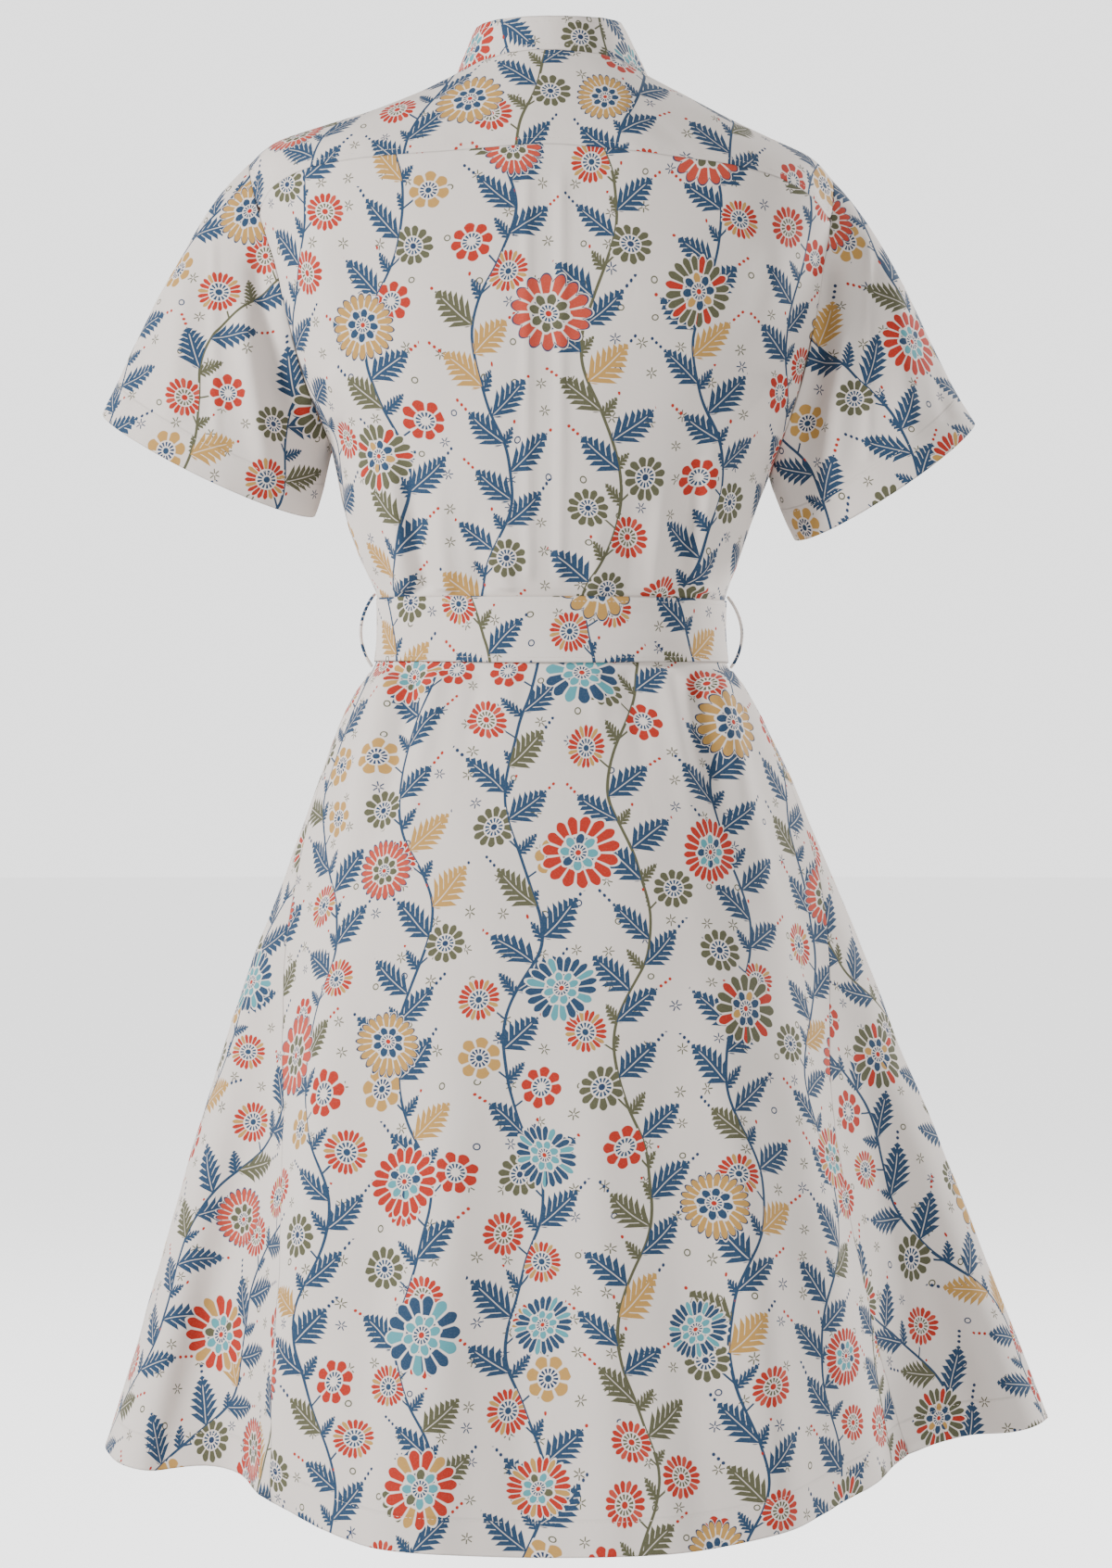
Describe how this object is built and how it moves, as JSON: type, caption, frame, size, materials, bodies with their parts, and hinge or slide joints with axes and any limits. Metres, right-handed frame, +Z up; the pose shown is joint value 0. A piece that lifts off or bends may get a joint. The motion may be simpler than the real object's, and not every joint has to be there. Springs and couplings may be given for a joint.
{
  "type": "shirt dress",
  "caption": "Short-sleeved shirt dress with a stand collar, back yoke, buttoned front, cloth belt and flared skirt, in the hollow form it takes when worn.",
  "frame": {"origin": "middle of the neck opening, level with the points where the shoulders meet the collar, which is where a wearer holds the dress up", "axes": "+Z up; the back of the dress faces -Y and its buttoned front faces +Y; +X is on the right when the back is seen, which is the wearer's right"},
  "size_m": [0.6737, 0.4447, 1.0439],
  "materials": {
    "printed_cotton": "plain-weave cotton, matte, all-over floral print",
    "shell_button": "satin shell"
  },
  "bodies": {
    "root": {"yoke": "printed_cotton", "bodice_back": "printed_cotton", "bodice_front_left": "printed_cotton", "bodice_front_right": "printed_cotton", "collar": "printed_cotton", "sleeve_left": "printed_cotton", "sleeve_right": "printed_cotton", "skirt_back": "printed_cotton", "skirt_front_left": "printed_cotton", "skirt_front_right": "printed_cotton", "button_band": "printed_cotton", "belt": "printed_cotton", "belt_loop_left": "printed_cotton", "belt_loop_right": "printed_cotton", "button_1": "shell_button", "button_2": "shell_button", "button_3": "shell_button", "button_4": "shell_button", "button_5": "shell_button", "button_6": "shell_button", "button_7": "shell_button", "button_8": "shell_button", "button_9": "shell_button"}
  },
  "joints": []
}
